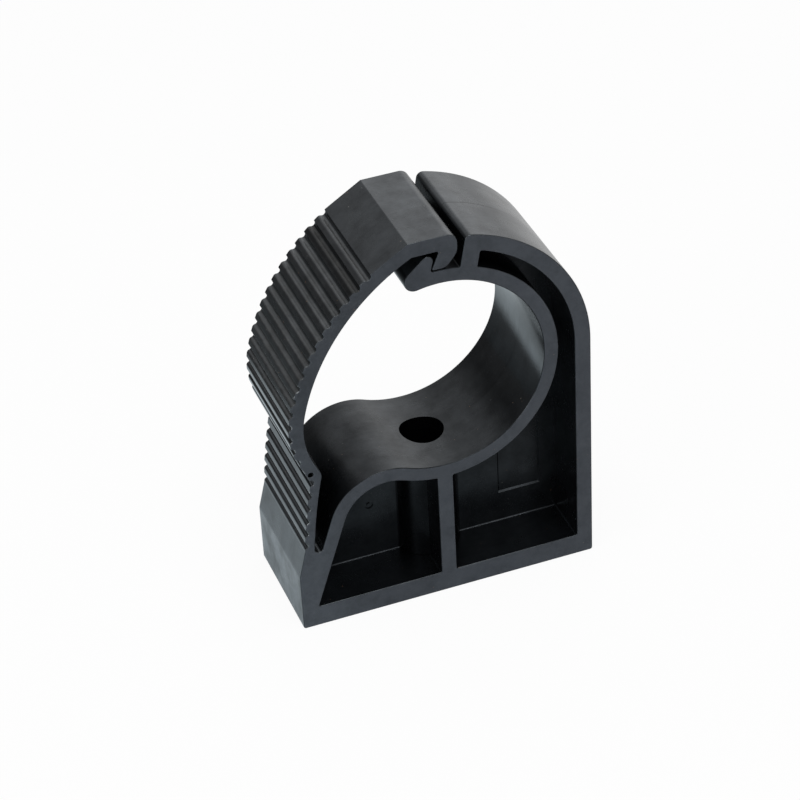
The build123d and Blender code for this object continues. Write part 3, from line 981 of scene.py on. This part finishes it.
def scuffed_and_shaded_share(face):
    """Share of the matt finish with scuffs: only the flat front and back, and less towards the strap, which
    paints shade on the fronts of the upper left.
    """
    tree = face.tree
    flat = rising(tree, maths(tree, "ABSOLUTE", face.towards("Y")), (0.85, 0.97))
    outermost = rising(tree, maths(tree, "ABSOLUTE", face.at("Y")), metres(FRONT_SKIN))
    along = vectors(tree, "DOT_PRODUCT", face.place, AWAY_FROM_STRAP, result="Value")
    # painted shade: the fronts grow darker towards the strap
    shaded_towards_strap = ranged(tree, along, *metres(STRAP_SHADE_FADE), STRAP_SHADE_SHARE, 1.0)
    return overlap(tree, flat, outermost, shaded_towards_strap)


def dust_share(face):
    """Share of pale dust: dots in a few cells of a loose grid, and in more of them on the pocket floors."""
    tree = face.tree
    cells = add_node(tree, "ShaderNodeTexVoronoi", {"Vector": face.place, "Scale": DUST_SCALE}).outputs
    dot = falling(tree, cells["Distance"], DUST_DOT)
    pocket_floor = overlap(tree, face.turned_to("Z", (0.7, 0.9)), face.short_of("Z", FLOOR_DUST_TOP))
    least = ranged(tree, pocket_floor, 0.0, 1.0, BARE_CELLS, BARE_FLOOR_CELLS)
    chosen = rising(tree, vector_part(tree, cells["Color"], "X"), (least, 1.0))
    return overlap(tree, dot, chosen)


def rib_highlight_share(face):
    """Share of the painted highlight, mottled, on the edges of the upper ribs that face up the strap."""
    tree = face.tree
    from_centre = vectors(tree, "SUBTRACT", face.place, (UPPER_CENTRE.x * MM, 0, UPPER_CENTRE.y * MM))
    outward = vectors(tree, "NORMALIZE", vectors(tree, "MULTIPLY", from_centre, (1, 0, 1)))
    tilt = vectors(tree, "CROSS_PRODUCT", outward, face.normal)
    facing_up = rising(tree, vector_part(tree, tilt, "Y"), (-0.1, 0.5))
    ribs_start = polar(UPPER_CENTRE, UPPER_TIP_RADIUS, RIBS_ANGLE).x
    on_ribs = face.short_of("X", (ribs_start - RIB_HIGHLIGHT_FADE, ribs_start))
    raised = face.past("Z", RIB_HIGHLIGHT_LOW)
    mottled = ranged(tree, face.noise(RIB_HIGHLIGHT_SCALE, 4, 0.7), 0.35, 0.65, 0.4, 1.0)
    return overlap(tree, facing_up, on_ribs, raised, mottled)


def end_share(face):
    """Share of the flat end of the base, below the shoulder."""
    sideways = face.turned_from("X", (-0.97, -0.9))
    low = face.short_of("Z", END_TOP)
    outermost = face.short_of("X", END_SKIN)
    return overlap(face.tree, sideways, low, outermost)


def end_clouds(face):
    """Cloudy pattern of the haze on the end of the base, from 0 to 1."""
    return rising(face.tree, face.noise(HAZE_SCALE, 4, 0.6), (0.4, 0.62))


def flash_share(face):
    """Share of pale flash: broken bits along the front edge of the lower ribs."""
    tree = face.tree
    side = maths(tree, "ABSOLUTE", face.towards("Y"))
    turned = overlap(tree, rising(tree, side, (0.1, 0.3)), falling(tree, side, (0.85, 0.97)))
    outermost = face.short_of("Y", FLASH_FRONT)
    lower = face.short_of("X", FLASH_RIBS)
    raised = face.past("Z", FLASH_LOW)
    outward = face.turned_from("X", (-0.1, 0.1))
    bits = rising(tree, face.noise(FLASH_SCALE, 3), (0.53, 0.66))
    return overlap(tree, turned, outermost, lower, raised, outward, bits)


def parting_share(face):
    """Share of the thin parting line: dark along the top of the arch, faint down the wall of the bore."""
    tree = face.tree
    swing = PARTING_WANDER * MM
    wander = ranged(tree, face.noise(WANDER_SCALE), 0.3, 0.7, -swing, swing)
    across = maths(tree, "ABSOLUTE", maths(tree, "ADD", face.at("Y"), wander))
    line = falling(tree, across, metres(PARTING_EDGE))
    upward = face.turned_to("Z", (0.45, 0.85))
    on_arch = overlap(tree, upward, face.past("X", ARCH_START), face.past("Z", ARCH_LOW))
    sideways = ranged(tree, face.towards("X"), -0.6, -0.3, BORE_LINE, 0.0)
    in_bore = overlap(tree, sideways, face.past("X", BORE_LINE_START), face.short_of("X", BORE_LINE_END))
    return overlap(tree, line, maths(tree, "MAXIMUM", on_arch, in_bore))


def boss_shade_share(face):
    """Share of the boss round the screw, where the sheen is cut back as painted shade."""
    tree = face.tree
    radius = vectors(tree, "LENGTH", vectors(tree, "MULTIPLY", face.place, (1, 1, 0)), result="Value")
    near = falling(tree, radius, metres(BOSS_SKIN))
    return overlap(tree, near, face.short_of("Z", BOSS_TOP))


def saddle_shade_share(face):
    """Share of the saddle and the hump beside it, where the sheen is cut back as painted shade."""
    upward = face.turned_to("Z", (0.3, 0.6))
    above = face.past("Z", SADDLE_LOW)
    below = face.short_of("Z", SADDLE_HIGH)
    inside = face.past("X", SADDLE_START)
    return overlap(face.tree, upward, above, below, inside)


def lip_shade_share(face):
    """Share of the top of the lip, which lies deep in the gap behind the hook, where the sheen is cut back
    as painted shade.
    """
    upward = face.turned_to("Z", (0.2, 0.5))
    above = face.past("Z", LIP_LOW)
    below = face.short_of("Z", LIP_HIGH)
    before_post = face.short_of("X", LIP_END)
    return overlap(face.tree, upward, above, below, before_post)


def polished_share(face):
    """Share of the smoother faces: the upright wall of the bore and the lower ribs of the strap."""
    tree = face.tree
    facing = face.turned_from("X", (-0.7, -0.4))
    bore = overlap(tree, face.past("X", POLISHED_WALL_START), face.short_of("X", POLISHED_WALL_END), facing)
    above = face.past("Z", POLISHED_RIBS_LOW)
    below = face.short_of("Z", POLISHED_RIBS_HIGH)
    ribs = overlap(tree, face.short_of("X", POLISHED_RIBS), above, below)
    return maths(tree, "MAXIMUM", bore, ribs)


def gloss_level(face):
    """Strength of the sheen: cloudy and streaked, cut back as painted shade on the boss, the saddle and the
    lip, and dull on the parting line.
    """
    tree = face.tree
    level = ranged(tree, face.noise(SMUDGE_SCALE, 6, 0.68), 0.3, 0.7, 0.3, 0.68)
    streaks = face.noise(STREAK_SCALE, 3, stretch=STREAK_STRETCH)
    level = overlap(tree, level, ranged(tree, streaks, 0.35, 0.65, 0.95, 1.05))
    # painted shade on the boss, the saddle and the lip; the parting line is dull
    shade_and_parting_shares = (
        (boss_shade_share(face), BOSS_SHADED_SHEEN),
        (saddle_shade_share(face), SADDLE_SHADED_SHEEN),
        (lip_shade_share(face), LIP_SHADED_SHEEN),
        (parting_share(face), PARTING_GLOSS),
    )
    for share, gloss in shade_and_parting_shares:
        level = overlap(tree, level, ranged(tree, share, 0.0, 1.0, 1.0, gloss))
    return level


def worn_colour_and_painted_light(face, clouds, scuffed_and_shaded):
    """Nearly black plastic, greyer and mottled where scuffs lie and painted darker towards the strap, with
    a painted highlight on the upper ribs, dust, haze and flash.
    """
    tree = face.tree
    colour = mixed_colour(tree, rising(tree, clouds, (0.3, 0.7)), PLASTIC_DEEP, PLASTIC_PALE)
    blotches = ranged(tree, face.noise(BLOTCH_SCALE, 8, 0.8), 0.3, 0.7, 0.68, 1.24)
    warm = rising(tree, face.noise(WARM_DUST_SCALE), (0.48, 0.54))
    layers = (
        # scuff finish, painted darker towards the strap
        (overlap(tree, scuffed_and_shaded, blotches), SCUFFED_COLOUR),
        # painted highlight on the up-facing edges of the upper ribs
        (rib_highlight_share(face), RIB_HIGHLIGHT_COLOUR),
        (overlap(tree, end_share(face), end_clouds(face)), HAZE_COLOUR),
        (dust_share(face), mixed_colour(tree, warm, DUST_COLOUR, WARM_DUST_COLOUR)),
        (flash_share(face), FLASH_COLOUR),
    )
    for share, layer_colour in layers:
        colour = mixed_colour(tree, share, colour, layer_colour)
    return colour


def worn_roughness(face, clouds, scuffed_and_shaded):
    """Satin roughness, smoother where it is polished, rougher where scuffs lie, under the painted highlight
    of the upper ribs, or clouded.
    """
    tree = face.tree
    roughness = ranged(tree, clouds, 0.3, 0.7, *SATIN_ROUGHNESS)
    roughness = mixed(tree, polished_share(face), roughness, POLISHED_ROUGHNESS)
    between_clouds = ranged(tree, end_clouds(face), 0.0, 1.0, END_DULLNESS, 0.0)
    dull_end = overlap(tree, end_share(face), between_clouds)
    for share in (scuffed_and_shaded, rib_highlight_share(face), dull_end):
        roughness = mixed(tree, share, roughness, MATT_ROUGHNESS)
    return roughness


def cleared_tree(owner):
    """Empty node tree of a new material or world."""
    owner.use_nodes = True
    owner.node_tree.nodes.clear()
    return owner.node_tree


def dark_plastic():
    """Dark satin moulded plastic with a fine grain and uneven gloss."""
    material = bpy.data.materials.new("dark_plastic")
    tree = cleared_tree(material)
    face = Face(tree)
    scuffed_and_shaded = scuffed_and_shaded_share(face)
    clouds = face.noise(CLOUD_SCALE, 3)
    grain = face.noise(GRAIN_SCALE, 2)
    bump = {"Strength": GRAIN_STRENGTH, "Distance": GRAIN_HEIGHT * MM, "Height": grain}
    finish = {
        "Base Color": worn_colour_and_painted_light(face, clouds, scuffed_and_shaded),
        "Roughness": worn_roughness(face, clouds, scuffed_and_shaded),
        "IOR": PLASTIC_IOR,
        "Specular IOR Level": gloss_level(face),
        "Specular Tint": PLASTIC_SHEEN,
        "Normal": add_node(tree, "ShaderNodeBump", bump).outputs["Normal"],
    }
    shader = add_node(tree, "ShaderNodeBsdfPrincipled", finish)
    add_node(tree, "ShaderNodeOutputMaterial", {"Surface": shader.outputs[0]})
    return material


def camera():
    """Camera fitted to the view."""
    azimuth = radians(VIEW_AZIMUTH)
    elevation = radians(VIEW_ELEVATION)
    back = Vector((sin(azimuth) * cos(elevation), -cos(azimuth) * cos(elevation), sin(elevation)))
    right = Vector((cos(azimuth), sin(azimuth), 0))
    up = back.cross(right)
    roll = radians(VIEW_ROLL)
    turned_right = right * cos(roll) + up * sin(roll)
    turned_up = up * cos(roll) - right * sin(roll)
    data = bpy.data.cameras.new("camera")
    data.lens = VIEW_LENS
    data.sensor_width = VIEW_SENSOR
    data.clip_start = VIEW_NEAREST * MM
    made = bpy.data.objects.new("camera", data)
    turn = Matrix((turned_right, turned_up, back)).transposed().to_4x4()
    made.matrix_world = Matrix.Translation((Vector(VIEW_TARGET) + back * VIEW_DISTANCE) * MM) @ turn
    bpy.context.scene.collection.objects.link(made)
    bpy.context.scene.camera = made


def soft_lamp(name, place, target, size, power):
    """Soft lamp with a flat, four-sided face that looks at a target."""
    data = bpy.data.lights.new(name, "AREA")
    data.shape = "RECTANGLE"
    data.size, data.size_y = size
    data.energy = power
    made = bpy.data.objects.new(name, data)
    aim = Vector(target) - Vector(place)
    made.matrix_world = Matrix.Translation(place) @ aim.to_track_quat("-Z", "Y").to_matrix().to_4x4()
    bpy.context.scene.collection.objects.link(made)


def seen_directly(tree, rays):
    """Share of the rays that see the background as it is: from the camera or through the object."""
    return maths(tree, "MAXIMUM", rays["Is Camera Ray"], rays["Is Transmission Ray"])


def studio_world():
    """Studio surroundings: white to the camera, with a dark stretch low on the far left in reflections."""
    world = bpy.data.worlds.new("studio_world")
    bpy.context.scene.world = world
    tree = cleared_tree(world)
    rays = tree.nodes.new("ShaderNodeLightPath").outputs
    towards = tree.nodes.new("ShaderNodeTexCoord").outputs["Generated"]
    facing = vectors(tree, "DOT_PRODUCT", towards, DARK_SIDE, result="Value")
    dark_near = cos(radians(DARK_SIDE_NEAR))
    dark_far = cos(radians(DARK_SIDE_FAR))
    mirrored = ranged(tree, facing, dark_far, dark_near, MIRRORED_WHITE, MIRRORED_DARK)
    strength = mixed(tree, rays["Is Glossy Ray"], SURROUND_LIGHT, mirrored)
    strength = mixed(tree, seen_directly(tree, rays), strength, 1.0)
    light = add_node(tree, "ShaderNodeBackground", {"Color": WHITE, "Strength": strength})
    add_node(tree, "ShaderNodeOutputWorld", {"Surface": light.outputs[0]})


def mirrored_floor(face):
    """Brightness of the floor in reflections: in shade in front, close behind and far on the left."""
    tree = face.tree
    left = ranged(tree, face.at("Y"), *metres(FLOOR_LEFT_FADE), 1.0, FLOOR_FAR_LEFT)
    far_right = ranged(tree, face.at("Y"), *metres(FLOOR_RIGHT_FADE), FLOOR_BEHIND, 1.0)
    right = mixed(tree, face.past("Y", FLOOR_BACK_FADE), FLOOR_IN_FRONT, far_right)
    return mixed(tree, face.past("X", FLOOR_RIGHTWARD), left, right)


def floor_white():
    """White of the floor: matt, plain to the camera, shaded and slightly blue in reflections."""
    material = bpy.data.materials.new("floor_white")
    tree = cleared_tree(material)
    face = Face(tree)
    rays = tree.nodes.new("ShaderNodeLightPath").outputs
    glossy = rays["Is Glossy Ray"]
    matt = add_node(tree, "ShaderNodeBsdfDiffuse", {"Color": FLOOR_COLOUR})
    strength = mixed(tree, glossy, 1.0, mirrored_floor(face))
    blue = overlap(tree, glossy, face.short_of("X", FLOOR_LEFTWARD))
    colour = mixed_colour(tree, blue, WHITE, FLOOR_SHEEN)
    glow = add_node(tree, "ShaderNodeEmission", {"Color": colour, "Strength": strength})
    seen = maths(tree, "MAXIMUM", seen_directly(tree, rays), glossy)
    share = maths(tree, "MULTIPLY", seen, FLOOR_GLOW)
    blend = add_node(tree, "ShaderNodeMixShader", {0: share, 1: matt.outputs[0], 2: glow.outputs[0]})
    add_node(tree, "ShaderNodeOutputMaterial", {"Surface": blend.outputs[0]})
    return material


def floor():
    """Wide floor that keeps the object's shadow."""
    shape = bmesh.new()
    bmesh.ops.create_grid(shape, x_segments=1, y_segments=1, size=FLOOR_HALF_SIZE)
    placed("floor", plain_mesh("floor", shape, floor_white()))


def clip():
    """Both pieces of the moulding, the body and the strap that bends at its neck."""
    material = dark_plastic()
    tree = moulded_wall_tree()
    body = body_mesh(tree, material)
    body = combined("body_with_boss", body, boss_mesh(material), "UNION")
    body = combined("body_with_screw_way", body, screw_way_mesh(material), "DIFFERENCE")
    body = combined("body_with_web_marks", body, web_marks_mesh(material), "DIFFERENCE")
    body_piece = show("clip_moulding", body)
    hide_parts("clip_body")
    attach(body_piece, "clip_body")
    strap_piece = show("strap_moulding", strap_mesh(tree, material))
    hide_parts("locking_strap")
    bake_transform(strap_piece)


clip()
camera()
studio_world()
floor()
for lamp in LAMPS:
    soft_lamp(*lamp)
bpy.context.scene.view_settings.view_transform = "Standard"
